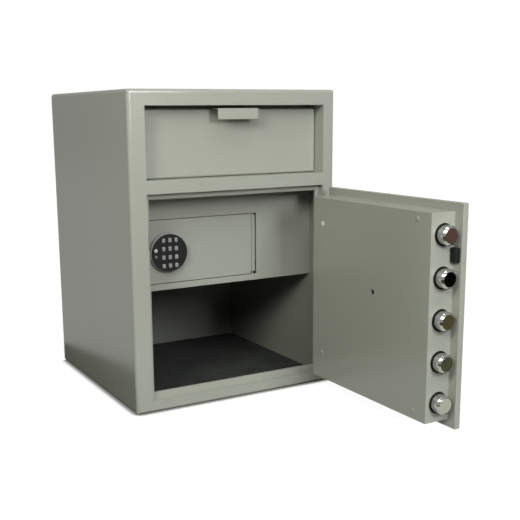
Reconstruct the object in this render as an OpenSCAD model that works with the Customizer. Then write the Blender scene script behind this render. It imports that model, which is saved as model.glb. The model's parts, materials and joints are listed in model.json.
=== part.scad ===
// Drop safe with a tilting deposit drawer over a side-hinged door, and a
// small keypad locker inside. Shown with the main door open at a right angle.
// Millimetres. X runs to the right, Y to the back, Z up, origin at the middle
// of the underside. The working coordinates below start at the front left
// corner of the cabinet and are shifted to the origin at the end.

/* [Cabinet] */
// Width of the cabinet
cabinet_w = 506; // [490:2:560]
// Depth of the cabinet
cabinet_d = 498; // [460:2:560]
// Height of the cabinet
cabinet_h = 686; // [680:2:720]
// Thickness of the shell plate
wall_t = 5; // [4:0.5:5]
// Thickness of the front plate
front_t = 5; // [4:0.5:5]
// Radius of the rounded outer edges
edge_r = 8; // [7:0.5:9]
// Width of the left jamb
jamb_left_w = 38; // [34:1:40]
// Width of the right jamb
jamb_right_w = 30; // [28:1:34]
// Height of the top rail
top_rail_h = 33.5; // [28:0.5:35]
// Height of the rail between drawer and door
mid_rail_h = 28; // [25:1:30]
// Height of the sill under the door
sill_h = 25; // [22:1:27]
// Clear height of the door opening
door_opening_h = 447; // [444:1:452]
// Distance between floor anchor holes, side to side
anchor_dx = 300; // [260:5:330]
// Distance between floor anchor holes, front to back
anchor_dy = 280; // [240:5:300]
// Radius of a floor anchor hole
anchor_r = 7; // [5:0.5:8]
// Thickness of the floor mat
mat_t = 5; // [3:0.5:6]

/* [Door stop] */
// Plate thickness of the door stop
stop_t = 5; // [4:0.5:5]
// How far the stop reaches in at the left and right
stop_w = 10; // [9:0.5:10.5]
// How far the stop hangs down under the rail
stop_drop = 12.5; // [10:0.5:13]
// How far the stop rises over the sill
stop_rise = 15.5; // [12:0.5:16]

/* [Main door] */
// Thickness of the door plate
door_t = 13; // [11:0.5:13.5]
// How far the door plate sits behind the front face
door_recess = 3; // [2:0.5:4]
// Gap round the door plate
door_gap = 3; // [2.5:0.5:3.5]
// Rim of the door plate beyond the box on the bolt side
rim_bolt_side = 20; // [19:0.5:22]
// Rim of the door plate beyond the box on the hinge side
rim_hinge_side = 28; // [26:0.5:30]
// Rim of the door plate over and under the box
rim_top = 16.4; // [16:0.2:18]
// Depth of the box on the back of the door plate
box_depth = 58.5; // [57:0.5:59]
// Sheet thickness of the box and its cover
box_t = 3; // [2:0.5:3]
// Radius of the hole in the back cover
cover_hole_r = 5.5; // [4:0.5:6]

/* [Hinges] */
// Radius of a hinge knuckle
knuckle_r = 6.5; // [6.2:0.1:6.6]
// Radius of a hinge pin
hinge_pin_r = 4; // [3.5:0.1:4.2]
// Height of one hinge
hinge_h = 60; // [50:2:70]
// Distance from the door plate's end to the hinge
hinge_inset = 38.5; // [30:0.5:44]

/* [Locking bolts] */
// Radius of a locking bolt
bolt_r = 19; // [18:0.5:19.5]
// Distance between locking bolts
bolt_pitch = 82; // [80:0.5:82.5]
// Height of the middle bolt over the sill
bolt_mid_h = 221.5; // [219:0.5:223]
// How far the bolts stand out of the box when thrown
bolt_out = 22; // [21:0.5:22.5]
// Travel of the bolts
bolt_travel = 15; // [14:0.1:15.1]
// Radius of the black bush round a bolt
bush_r = 22; // [21.5:0.5:22.5]

/* [Outside handle and dial] */
// Distance from the box's edge to the handle spindle
handle_inset = 89; // [87:1:91]
// Distance from the box's edge to the dial
dial_inset = 171; // [169:1:175]
// Length of the lever
lever_l = 95; // [80:1:98]
// Radius of the handle spindle
spindle_r = 6; // [5:0.5:6.5]
// Radius of the dial
dial_r = 32; // [28:0.5:33]
// Height of the dial's grip
dial_grip_h = 21; // [16:1:24]

/* [Deposit drawer] */
// Depth of the drawer panel behind the front face
panel_recess = 35; // [33:0.5:36]
// Sheet thickness of the drawer panel
panel_t = 3; // [2:0.5:3]
// Gap over the drawer panel
panel_top_gap = 8.8; // [8:0.2:10]
// Radius of the drawer's scoop
scoop_r = 118; // [108:1:119]
// Width of the pull lip
pull_w = 99; // [80:1:120]
// Height of the pull lip's front
pull_h = 23.5; // [18:0.5:26]

/* [Inner locker] */
// Distance from the front face to the locker's front
locker_y = 92; // [91.5:0.5:94]
// Depth of the locker
locker_depth = 240; // [200:5:260]
// Height of the locker's underside
locker_z = 248; // [244:1:252]
// Width of the locker door, with its hinge roll
locker_door_w = 285; // [275:1:300]
// Height of the locker door
locker_door_h = 142; // [138:1:143]

/* [Keypad] */
// Radius of the keypad housing
keypad_r = 42; // [41.8:0.1:43]
// Distance between key columns
key_dx = 15.4; // [13:0.1:15.6]
// Distance between key rows
key_dz = 19.1; // [16:0.1:19.3]
// Width of a key
key_w = 7.4; // [6.5:0.1:8]
// Height of a key
key_h = 9.4; // [8:0.1:10]

/* [Hidden] */
// Returns, clearances and the overcut of every hole
return_t = 4;
stop_clear = 0.5;
turn_clear = 0.05;
slide_clear = 0.15;
part_clear = 0.3;
side_clear = 2;
cut = 1;

// Clear openings of the front frame
ox0 = jamb_left_w;
ox1 = cabinet_w - jamb_right_w;
oz0 = sill_h;
oz1 = sill_h + door_opening_h;
uz0 = oz1 + mid_rail_h;
uz1 = cabinet_h - top_rail_h;
ceiling = cabinet_h - wall_t;
top_return_d = 17;

// Door plate, closed
px0 = ox0 + door_gap;
px1 = ox1 - door_gap;
pz0 = oz0 + door_gap;
pz1 = oz1 - door_gap;
py0 = door_recess;
py1 = py0 + door_t;

// Door stop
sy0 = py1 + stop_clear;
sy1 = sy0 + stop_t;

// Box on the door plate, closed
bx0 = px0 + rim_bolt_side;
bx1 = px1 - rim_hinge_side;
bz0 = pz0 + rim_top - 0.4;
bz1 = pz1 - rim_top;
by1 = py1 + box_depth;
cy0 = by1 - box_t;

// Hinge line of the main door
axis_x = cabinet_w - 10.5;
axis_y = -knuckle_r - 0.5;
door_angle = 90;
hinge_zs = [pz0 + hinge_inset, pz1 - hinge_inset - hinge_h];
collar_t = 1;
knuckle_h = hinge_h / 2 - collar_t;
pin_head_h = 2;
strap_w = 48;
strap_y0 = -4.5;
strap_y1 = -1;

// Locking bolts and the bar that carries them
bolt_y = py0 + 41;
bolt_mid_z = oz0 + bolt_mid_h;
bolt_zs = [for (i = [-2 : 2]) bolt_mid_z + i * bolt_pitch];
tip_x = bx0 - bolt_out;
tip_chamfer = 4;
shank_r = 6;
shank_l = 12;
bar_x0 = bx0 + 15;
bar_w = 16;
bar_t = 16;
bar_end = 12;
bar_x1 = bar_x0 + bar_w;
strap_zs = [bolt_mid_z - 1.5 * bolt_pitch, bolt_mid_z + 1.5 * bolt_pitch];
strap_l = 44;
strap_half_h = 10;
strap_half_t = 3;
guide_x = bar_x1 + 26;
guide_r = 5;
guide_head_r = 8;
guide_head_h = 3.7;
buffer_z = bolt_mid_z + 1.5 * bolt_pitch + 2;
buffer_h = 27;
buffer_d = 11;
buffer_notch = buffer_h / 2 + 4;
bush_lip = 1.4;
bush_t = 1.5;
bush_l = 9;
dog_inset = 40;

// Channel that the bolts go into
keeper_x0 = ox0 + 5;
keeper_t = 4;
keeper_clear = 1;
keeper_y1 = bolt_y + 21.7;
keeper_z0 = oz0 + 5;
keeper_z1 = oz1 - 16;

// Handle, cam and drive pin
handle_x = bx0 + handle_inset;
handle_z = bolt_mid_z + 79.5;
drive_r = 3;
drive_far = 27.5;
cam_r = drive_far + 7.5;
cam_clear = 0.2;
cam_t = 6;
cam_hub_r = 10;
cam_y0 = py1 + 12;
cam_y1 = cam_y0 + cam_t;
hub_r = 17;
hub_l = 27;
arm_half_w = 9;
arm_t = 14;

// Arm of the bar, driven by the cam
arm_z0 = handle_z - 16;
arm_z1 = handle_z + 16;
arm_y0 = bolt_y - 2;
arm_y1 = bolt_y + 4;

// Dial and lock
dial_x = bx0 + dial_inset;
dial_z = bolt_mid_z + 7.5;
dial_face_y = py0 - 12;
dial_grip_r = 19;
dial_spindle_r = 4;
dial_spindle_in = 24;
arm_past_dial = 30;
ring_w = 8;
lock_w = 62;
lock_z0 = dial_z - 32;
lock_z1 = arm_z0 - 5;
lock_bolt_w = 25;
lock_bolt_h = 23;
lock_bolt_t = 10;
lock_bolt_y0 = bolt_y - 4;
lock_y1 = lock_bolt_y0 + lock_bolt_t + part_clear + 0.7;
lock_bolt_travel = 10;
change_key_z = dial_z + 20;

// Back cover screws, placed as they show
screw_r = 3;
screw_l = 18;
screw_head_r = 5.5;
screw_head_h = 2;
post_r = 6;
rib_h = 8;
screw_x0 = bx0 + 39;
screw_x1 = bx1 - 34;
screw_at = [[screw_x1, bz1 - 56.6], [screw_x1, bz0 + 59], [screw_x0, bz1 - 14], [screw_x0, bz0 + 17]];

// Chute under the drawer
ledge_y = 62;
chute_t = 3.1;
chute_slope = 14;
chute_lip = 14;
chute_lip_t = 3;
locker_y1 = locker_y + locker_depth;
function chute_z(y) = uz0 - (y - ledge_y) * tan(chute_slope);
locker_top = chute_z(locker_y1) - chute_t;

// Drawer pivot and scoop
pivot_y = panel_recess + 5;
tube_r = 5;
pivot_z = uz0 + tube_r + 0.5;
baffle_clear = 3.5;
baffle_t = 3;
swing_r = min(scoop_r, ceiling - pivot_z - baffle_clear - baffle_t - 1);
rod_r = 3;
panel_z1 = uz1 - panel_top_gap;
scoop_x0 = ox0 + 6;
scoop_x1 = ox1 - 6;
scoop_t = 2;
drawer_tilt = 45;
// The scoop's lip comes to rest this far over the chute
scoop_rest = 0.3;
pivot_drop = (pivot_z - chute_z(pivot_y)) * cos(chute_slope);
scoop_low = -(chute_slope + asin((pivot_drop - scoop_rest) / swing_r));
pull_t = 2.5;
pull_y0 = 1.5;
pull_x0 = cabinet_w / 2 + 3.5 - pull_w / 2;

// Curved baffle that the scoop turns under
baffle_from = scoop_low + drawer_tilt + 2.5;
baffle_r = swing_r + baffle_clear;
baffle_y = pivot_y + 8;

// Locker and its door
locker_t = 3;
face_t = 3;
leaf_t = 4;
leaf_gap = 1.5;
lk_x0 = wall_t + 58;
lk_x1 = lk_x0 + locker_door_w + 2.5;
lk_z0 = locker_z + 14;
lk_z1 = lk_z0 + locker_door_h + 2 * leaf_gap;
roll_r = 4.5;
roll_x = lk_x1 - 7;
roll_y = locker_y + 5.7;
strip_x0 = roll_x - 4.8;
strip_x1 = roll_x + 3.5;
strip_groove = 1.4;
strip_groove_d = 2.5;
roll_top = 2.5;
roll_foot = 5;
locker_pin_r = 2.5;
locker_pin_l = 23;
ear_t = 7;
ear_y1 = locker_y + 11;
case_x0 = lk_x0 + 16;
case_x1 = lk_x0 + 88;
case_h = 66;
case_d = 25;
locker_bolt_x0 = lk_x0 + 4;
locker_bolt_l = 40;
locker_bolt_h = 16;
locker_bolt_t = 10;

// Keypad centre and depths
kp_x = lk_x0 + 58.8;
kp_z = lk_z0 + 71.2;
kp_base = 9.5;
kp_base_lip = 2.7;
kp_front = 14.5;
kp_wall = 2;
kp_side = 1.4;
kp_y0 = locker_y - kp_front;
key_proud = 1.3;
key_gap = 0.25;
key_flange = 1.3;
key_flange_t = 1.2;
light_x = kp_x - 34;

paint = [0.60, 0.62, 0.58];
paint_dark = [0.50, 0.52, 0.47];
black = [0.08, 0.08, 0.09];
steel = [0.72, 0.73, 0.74];
chrome = [0.85, 0.86, 0.88];
white = [0.90, 0.90, 0.88];

// Helpers in working coordinates
module slab(x0, x1, y0, y1, z0, z1) {
    translate([x0, y0, z0]) cube([x1 - x0, y1 - y0, z1 - z0]);
}
module rod_x(r, x0, x1, y, z) {
    translate([x0, y, z]) rotate([0, 90, 0]) cylinder(r = r, h = x1 - x0, $fn = 64);
}
module rod_y(r, y0, y1, x, z) {
    translate([x, y1, z]) rotate([90, 0, 0]) cylinder(r = r, h = y1 - y0, $fn = 64);
}
module rod_z(r, z0, z1, x, y) {
    translate([x, y, z0]) cylinder(r = r, h = z1 - z0, $fn = 64);
}
// Outline in Y and Z, drawn out along X
module along_x(x0, x1) {
    translate([x0, 0, 0]) rotate([90, 0, 90]) linear_extrude(x1 - x0) children();
}
// Outline in X and Z, drawn out along Y
module along_y(y0, y1) {
    translate([0, y1, 0]) rotate([90, 0, 0]) linear_extrude(y1 - y0) children();
}
// From working coordinates to the origin under the middle of the cabinet
module in_place() {
    translate([-cabinet_w / 2, -cabinet_d / 2, 0]) children();
}
// The door's parts are drawn closed and turned open about the hinge line
module on_door() {
    in_place() translate([axis_x, axis_y, 0]) rotate([0, 0, door_angle])
        translate([-axis_x, -axis_y, 0]) children();
}

// Cabinet
// What a rounded edge leaves of a square corner, to be cut away
module corner_waste(sx, sz) {
    difference() {
        translate([sx > 0 ? 0 : -edge_r - cut, sz > 0 ? 0 : -edge_r - cut])
            square(edge_r + cut);
        circle(r = edge_r, $fn = 64);
    }
}
module long_edges(y0, y1) {
    for (sx = [-1, 1], sz = [-1, 1])
        along_y(y0, y1)
            translate([cabinet_w / 2 + sx * (cabinet_w / 2 - edge_r),
                       cabinet_h / 2 + sz * (cabinet_h / 2 - edge_r)])
                corner_waste(sx, sz);
}
module front_edges() {
    for (sx = [-1, 1])
        translate([cabinet_w / 2 + sx * (cabinet_w / 2 - edge_r), edge_r, -cut])
            linear_extrude(cabinet_h + 2 * cut) corner_waste(sx, -1);
    for (sz = [-1, 1])
        along_x(-cut, cabinet_w + cut)
            translate([edge_r, cabinet_h / 2 + sz * (cabinet_h / 2 - edge_r)])
                corner_waste(-1, sz);
}
module anchor_holes(z0, z1) {
    for (sx = [-1, 1], sy = [-1, 1])
        rod_z(anchor_r, z0, z1, cabinet_w / 2 + sx * anchor_dx / 2, cabinet_d / 2 + sy * anchor_dy / 2);
}
module outer_shell() {
    color(paint) in_place() difference() {
        slab(0, cabinet_w, edge_r, cabinet_d, 0, cabinet_h);
        slab(wall_t, cabinet_w - wall_t, edge_r - cut, cabinet_d + cut, wall_t, ceiling);
        long_edges(edge_r - cut, cabinet_d + cut);
        anchor_holes(-cut, wall_t + cut);
    }
}
module back_plate() {
    color(paint) in_place()
        slab(wall_t, cabinet_w - wall_t, cabinet_d - wall_t, cabinet_d, wall_t, ceiling);
}
module front_frame() {
    color(paint) in_place() difference() {
        union() {
            difference() {
                slab(0, cabinet_w, 0, edge_r, 0, cabinet_h);
                slab(wall_t, cabinet_w - wall_t, front_t, edge_r + cut, wall_t, ceiling);
                long_edges(-cut, edge_r + cut);
                front_edges();
            }
            // Jamb and rail returns round the drawer opening
            difference() {
                slab(ox0 - return_t, ox1 + return_t, front_t, ledge_y, uz0 - return_t, uz1 + return_t);
                slab(ox0, ox1, front_t - cut, ledge_y + cut, uz0, uz1 + return_t + cut);
            }
            slab(ox0 - return_t, ox1 + return_t, front_t, front_t + top_return_d, uz1, uz1 + return_t);
            // Returns and stop round the door opening
            difference() {
                slab(ox0 - return_t, ox1 + return_t, front_t, sy1, oz0 - return_t, oz1 + return_t);
                slab(ox0, ox1, front_t - cut, sy0, oz0, oz1);
                slab(ox0 + stop_w, ox1 - stop_w - 0.5, sy0 - cut, sy1 + cut,
                     oz0 + stop_rise, oz1 - stop_drop);
                // Notch that takes the block on the door's rim
                slab(ox0, ox0 + stop_w + cut, sy0 - cut, sy1 + cut,
                     buffer_z - buffer_notch, buffer_z + buffer_notch);
            }
        }
        slab(ox0, ox1, -cut, front_t + cut, oz0, oz1);
        slab(ox0, ox1, -cut, front_t + cut, uz0, uz1);
        rod_x(rod_r, ox0 - return_t - cut, ox1 + return_t + cut, pivot_y, pivot_z);
    }
}
module chute_floor() {
    lip_y = locker_y1 + chute_lip_t;
    color(paint_dark) in_place() along_x(wall_t, cabinet_w - wall_t)
        polygon([[ledge_y, uz0], [lip_y, chute_z(lip_y)],
                 [lip_y, locker_top - chute_lip], [locker_y1, locker_top - chute_lip],
                 [locker_y1, locker_top], [ledge_y, uz0 - chute_t]]);
}
module deposit_baffle() {
    reach = 2 * baffle_r;
    color(paint_dark) in_place() along_x(ox0, ox1) difference() {
        union() {
            intersection() {
                translate([pivot_y, pivot_z]) circle(r = baffle_r + baffle_t, $fn = 128);
                polygon([[pivot_y, pivot_z],
                         [pivot_y + reach * cos(baffle_from), pivot_z + reach * sin(baffle_from)],
                         [pivot_y + reach * cos(baffle_from), ceiling],
                         [baffle_y, ceiling], [baffle_y, pivot_z + tube_r]]);
            }
            translate([baffle_y, pivot_z]) square([baffle_t, ceiling - pivot_z]);
        }
        translate([pivot_y, pivot_z]) circle(r = baffle_r, $fn = 128);
    }
}
module drawer_rod() {
    color(steel) in_place() rod_x(rod_r, ox0 - return_t, ox1 + return_t, pivot_y, pivot_z);
}
module floor_mat() {
    edge = wall_t + 0.5;
    color(black) in_place() difference() {
        slab(edge, cabinet_w - edge, sy1 + 0.5, cabinet_d - edge, wall_t, wall_t + mat_t);
        anchor_holes(wall_t - cut, wall_t + mat_t + cut);
    }
}
// Channel behind the left jamb that takes the thrown bolts
module bolt_keeper() {
    x1 = keeper_x0 + keeper_t;
    color(paint_dark) in_place() difference() {
        union() {
            slab(keeper_x0, x1, sy1, keeper_y1, keeper_z0, keeper_z1);
            slab(wall_t, keeper_x0, keeper_y1 - keeper_t, keeper_y1, keeper_z0, keeper_z1);
        }
        for (z = bolt_zs) rod_x(bolt_r + keeper_clear, tip_x - keeper_clear, x1 + cut, bolt_y, z);
        slab(keeper_x0 - cut, x1 + cut, sy1 - cut, py1 + buffer_d + buffer_notch - buffer_h / 2 - 1,
             buffer_z - buffer_notch, buffer_z + buffer_notch);
    }
}

// Hinges: the lower knuckle of each is welded to the right jamb
module frame_knuckle(i) {
    z = hinge_zs[i];
    color(paint) in_place() difference() {
        union() {
            rod_z(knuckle_r, z, z + knuckle_h, axis_x, axis_y);
            slab(axis_x - knuckle_r, cabinet_w - edge_r, axis_y, 0, z, z + knuckle_h);
        }
        rod_z(hinge_pin_r, z - cut, z + knuckle_h + cut, axis_x, axis_y);
    }
}
module hinge_pins() {
    collar_r = knuckle_r - 0.3;
    color(steel) in_place() for (z = hinge_zs) {
        head_z = z + hinge_h + part_clear;
        rod_z(hinge_pin_r, z - 1, head_z, axis_x, axis_y);
        rod_z(collar_r, z + knuckle_h, z + knuckle_h + collar_t, axis_x, axis_y);
        rod_z(collar_r, head_z, head_z + pin_head_h, axis_x, axis_y);
    }
}
module hinge_strap(i) {
    z = hinge_zs[i];
    z_knuckle = z + knuckle_h + collar_t + part_clear;
    color(paint) on_door() difference() {
        union() {
            slab(px1 - strap_w, px1, strap_y0, py0, z, z + hinge_h);
            slab(px1 - 1, axis_x, strap_y0, strap_y1, z_knuckle, z + hinge_h);
            rod_z(knuckle_r, z_knuckle, z + hinge_h, axis_x, axis_y);
        }
        rod_z(hinge_pin_r + turn_clear, z_knuckle - cut, z + hinge_h + cut, axis_x, axis_y);
    }
}

// Main door
module door_plate() {
    color(paint) on_door() difference() {
        slab(px0, px1, py0, py1, pz0, pz1);
        rod_y(spindle_r + turn_clear, py0 - cut, py1 + cut, handle_x, handle_z);
        rod_y(dial_spindle_r + 1, py0 - cut, py1 + cut, dial_x, dial_z);
    }
}
module door_box() {
    color(paint) on_door() difference() {
        union() {
            difference() {
                slab(bx0, bx1, py1, cy0, bz0, bz1);
                slab(bx0 + box_t, bx1 - box_t, py1 - cut, cy0 + cut, bz0 + box_t, bz1 - box_t);
            }
            // Posts that take the cover screws, each tied to the nearest wall
            for (s = screw_at) {
                rod_y(post_r, py1, cy0, s[0], s[1]);
                to_side = s[0] == screw_x1;
                rib_x0 = s[0] - screw_r;
                up = s[1] > bolt_mid_z;
                if (to_side) slab(s[0], bx1 - 1, py1, py1 + rib_h, s[1] - screw_r, s[1] + screw_r);
                else slab(rib_x0, rib_x0 + 2 * screw_r, py1, py1 + rib_h,
                          up ? s[1] : bz0 + 1, up ? bz1 - 1 : s[1]);
            }
        }
        for (s = screw_at) rod_y(screw_r, cy0 - screw_l - 2, cy0 + cut, s[0], s[1]);
        for (z = bolt_zs) rod_x(bush_r - bush_lip, bx0 - cut, bx0 + box_t + cut, bolt_y, z);
    }
}
module back_cover() {
    color(paint) on_door() difference() {
        slab(bx0, bx1, cy0, by1, bz0, bz1);
        for (s = screw_at) rod_y(screw_r, cy0 - cut, by1 + cut, s[0], s[1]);
        rod_y(cover_hole_r, cy0 - cut, by1 + cut, dial_x, change_key_z);
    }
}
module cover_screws() {
    color(steel) on_door() for (s = screw_at) difference() {
        union() {
            rod_y(screw_r, cy0 - screw_l, by1, s[0], s[1]);
            rod_y(screw_head_r, by1, by1 + screw_head_h, s[0], s[1]);
        }
        slab(s[0] - screw_head_r - cut, s[0] + screw_head_r + cut,
             by1 + screw_head_h / 2, by1 + screw_head_h + cut, s[1] - 0.6, s[1] + 0.6);
    }
}
module bolt_bushes() {
    x1 = bx0 + bush_l;
    color(black) on_door() for (z = bolt_zs) difference() {
        union() {
            rod_x(bush_r, bx0 - bush_t, bx0, bolt_y, z);
            rod_x(bush_r - bush_lip, bx0, x1, bolt_y, z);
        }
        rod_x(bolt_r + slide_clear, bx0 - bush_t - cut, x1 + cut, bolt_y, z);
    }
}
module dog_bar() {
    color(paint) on_door()
        slab(bx1, ox1 - 6, cam_y0, cam_y1, bz0 + dog_inset, bz1 - dog_inset);
}
module door_buffer() {
    x0 = px0 + 3;
    y1 = py1 + buffer_d;
    z0 = buffer_z - buffer_h / 2;
    color(black) on_door() difference() {
        slab(x0, bx0, py1, y1, z0, z0 + buffer_h);
        slab(x0 - cut, x0 + 2, y1 - 2, y1 + cut, z0 - cut, z0 + buffer_h + cut);
    }
}
module dial_ring() {
    color(steel) on_door() difference() {
        rod_y(dial_r + 1 + ring_w, py0 - 8, py0, dial_x, dial_z);
        rod_y(dial_r + 1, py0 - 8 - cut, py0 + cut, dial_x, dial_z);
    }
}
module lock_case() {
    half = lock_bolt_w / 2 + part_clear;
    color(steel) on_door() difference() {
        slab(dial_x - lock_w / 2, dial_x + lock_w / 2, py1, lock_y1, lock_z0, lock_z1);
        rod_y(dial_spindle_r + 0.2, py1 - cut, py1 + dial_spindle_in + 2, dial_x, dial_z);
        rod_y(2.5, lock_y1 - 6, lock_y1 + cut, dial_x, change_key_z);
        slab(dial_x - half, dial_x + half, lock_bolt_y0 - part_clear, lock_bolt_y0 + lock_bolt_t + part_clear,
             lock_z1 - lock_bolt_h - 2, lock_z1 + cut);
    }
}
// Shoulder screws that guide the bar
module guide_screws() {
    half = strap_half_t + part_clear;
    color(steel) on_door() for (z = strap_zs) {
        rod_y(guide_head_r, py1, bolt_y - half, guide_x, z);
        rod_y(guide_r, bolt_y - half, bolt_y + half, guide_x, z);
        rod_y(guide_head_r, bolt_y + half, bolt_y + half + guide_head_h, guide_x, z);
    }
}

// Boltwork, drawn with the bolts thrown
module bolt_carrier() {
    half = lock_bolt_w / 2 + 0.5;
    slot_r = guide_r + slide_clear;
    slot_x0 = guide_x - bolt_travel - part_clear;
    color(steel) on_door() difference() {
        union() {
            slab(bar_x0, bar_x1, bolt_y - bar_t / 2, bolt_y + bar_t / 2,
                 bolt_zs[0] - bar_end, bolt_zs[4] + bar_end);
            for (z = strap_zs)
                slab(bar_x1 - 1, bar_x1 + strap_l, bolt_y - strap_half_t, bolt_y + strap_half_t,
                     z - strap_half_h, z + strap_half_h);
            slab(bar_x1 - 1, dial_x + arm_past_dial, arm_y0, arm_y1, arm_z0, arm_z1);
        }
        for (z = bolt_zs) rod_x(shank_r, bar_x0 - cut, bar_x0 + shank_l, bolt_y, z);
        for (z = strap_zs) {
            slab(slot_x0, guide_x, bolt_y - bar_t / 2, bolt_y + bar_t / 2, z - slot_r, z + slot_r);
            for (x = [slot_x0, guide_x]) rod_y(slot_r, bolt_y - bar_t / 2, bolt_y + bar_t / 2, x, z);
        }
        rod_y(drive_r, arm_y0 - cut, arm_y1 + cut, handle_x - drive_far, handle_z);
        // Notch that the dial lock's bolt rises into
        slab(dial_x - half, dial_x + half, arm_y0 - cut, arm_y1 + cut,
             arm_z0 - cut, lock_z1 + lock_bolt_travel + 6);
    }
}
module locking_bolt(i) {
    z = bolt_zs[i];
    length = bar_x0 - tip_x;
    color(chrome) on_door() union() {
        translate([tip_x, bolt_y, z]) rotate([0, 90, 0]) rotate_extrude($fn = 64)
            polygon([[0, 0], [bolt_r - tip_chamfer, 0], [bolt_r, tip_chamfer],
                     [bolt_r, length], [0, length]]);
        rod_x(shank_r, bar_x0 - 1, bar_x0 + shank_l, bolt_y, z);
    }
}
module drive_pin() {
    color(steel) on_door() rod_y(drive_r, cam_y0 - 0.5, arm_y1, handle_x - drive_far, handle_z);
}

// Outside handle, its spindle and the slotted cam that drives the bar
module handle_lever() {
    y1 = py0 - hub_l;
    y0 = y1 - arm_t;
    end_z = handle_z - lever_l + arm_half_w;
    color(chrome) on_door() difference() {
        union() {
            rod_y(hub_r, y1, py0 - part_clear, handle_x, handle_z);
            rod_y(hub_r - 4, y0, y1, handle_x, handle_z);
            slab(handle_x - arm_half_w, handle_x + arm_half_w, y0, y1, end_z, handle_z);
            rod_y(arm_half_w, y0, y1, handle_x, end_z);
        }
        rod_y(spindle_r, y1 - 6, py0, handle_x, handle_z);
    }
}
module handle_spindle() {
    color(steel) on_door() rod_y(spindle_r, py0 - hub_l - 6, cam_y1, handle_x, handle_z);
}
// The slot's radius shrinks evenly with angle, so the bar's travel follows the
// handle's angle in proportion
function cam_radius(t) = drive_far - bolt_travel * t / 90;
function cam_heading(t) =
    let (r = cam_radius(t), shrink = -bolt_travel / 90 * 180 / PI, a = 180 + t)
    atan2(shrink * sin(a) + r * cos(a), shrink * cos(a) - r * sin(a));
// A point on the slot's edge, turned from the heading of its middle line
function cam_edge(t, turn) =
    let (r = cam_radius(t), a = 180 + t, w = drive_r + cam_clear, h = cam_heading(t) + turn)
    [r * cos(a) + w * cos(h), r * sin(a) + w * sin(h)];
module cam_disc() {
    color(steel) on_door() difference() {
        union() {
            rod_y(cam_r, cam_y0, cam_y1, handle_x, handle_z);
            rod_y(cam_hub_r, cam_y0 - cam_t, cam_y0, handle_x, handle_z);
        }
        rod_y(spindle_r, cam_y0 - cam_t - cut, cam_y1 + cut, handle_x, handle_z);
        along_y(cam_y0 - cut, cam_y1 + cut) translate([handle_x, handle_z])
            polygon(concat([for (t = [0 : 5 : 90]) cam_edge(t, -90)],
                           [for (turn = [-75 : 15 : 75]) cam_edge(90, turn)],
                           [for (t = [90 : -5 : 0]) cam_edge(t, 90)],
                           [for (turn = [105 : 15 : 255]) cam_edge(0, turn)]));
    }
}

// Dial and the bolt of its lock
module dial_knob() {
    grip_y = dial_face_y - dial_grip_h;
    flutes = 18;
    flute_r = 1.8;
    color(black) on_door() difference() {
        union() {
            rod_y(dial_r, dial_face_y, py0 - 1, dial_x, dial_z);
            rod_y(dial_grip_r, grip_y, dial_face_y, dial_x, dial_z);
        }
        for (i = [0 : flutes - 1])
            let (a = i * 360 / flutes, r = dial_grip_r + 0.6)
                rod_y(flute_r, grip_y - cut, dial_face_y - 3, dial_x + r * cos(a), dial_z + r * sin(a));
        rod_y(dial_spindle_r, dial_face_y - 8, py0, dial_x, dial_z);
    }
}
module dial_spindle() {
    color(steel) on_door() rod_y(dial_spindle_r, dial_face_y - 8, py1 + dial_spindle_in, dial_x, dial_z);
}
module lock_bolt() {
    color(steel) on_door()
        slab(dial_x - lock_bolt_w / 2, dial_x + lock_bolt_w / 2,
             lock_bolt_y0, lock_bolt_y0 + lock_bolt_t, lock_z1 - lock_bolt_h, lock_z1);
}

// Deposit drawer, closed
module drawer_panel() {
    x0 = ox0 + side_clear;
    x1 = ox1 - side_clear;
    color(paint) in_place() difference() {
        union() {
            slab(x0, x1, panel_recess, panel_recess + panel_t, pivot_z, panel_z1);
            rod_x(tube_r, x0, x1, pivot_y, pivot_z);
        }
        rod_x(rod_r + turn_clear, x0 - cut, x1 + cut, pivot_y, pivot_z);
    }
}
module drawer_pull() {
    z1 = panel_z1 + pull_t;
    x1 = pull_x0 + pull_w;
    color(paint) in_place() union() {
        slab(pull_x0, x1, pull_y0, panel_recess + panel_t, panel_z1, z1);
        slab(pull_x0, x1, pull_y0, pull_y0 + pull_t, z1 - pull_h, z1);
    }
}
module drawer_scoop() {
    back_y = panel_recess + panel_t;
    reach = 2 * swing_r;
    floor_y = reach * cos(scoop_low);
    floor_z = reach * sin(scoop_low);
    thick_y = -scoop_t * sin(scoop_low);
    thick_z = scoop_t * cos(scoop_low);
    color(paint_dark) in_place() difference() {
        union() {
            for (x = [scoop_x0, scoop_x1 - scoop_t]) along_x(x, x + scoop_t) intersection() {
                translate([pivot_y, pivot_z]) circle(r = swing_r, $fn = 128);
                polygon([[back_y, pivot_z + 2], [pivot_y, pivot_z],
                         [pivot_y + floor_y, pivot_z + floor_z],
                         [pivot_y + reach, pivot_z + reach], [back_y, pivot_z + reach]]);
            }
            along_x(scoop_x0, scoop_x1) translate([pivot_y, pivot_z]) intersection() {
                circle(r = swing_r, $fn = 128);
                polygon([[0, 0], [floor_y, floor_z],
                         [floor_y + thick_y, floor_z + thick_z], [thick_y, thick_z]]);
            }
        }
        rod_x(tube_r, scoop_x0 - cut, scoop_x1 + cut, pivot_y, pivot_z);
        // The panel caps the cheeks where the opening is low
        slab(scoop_x0 - cut, scoop_x1 + cut, back_y, pivot_y + reach, panel_z1, pivot_z + reach);
    }
}

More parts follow.
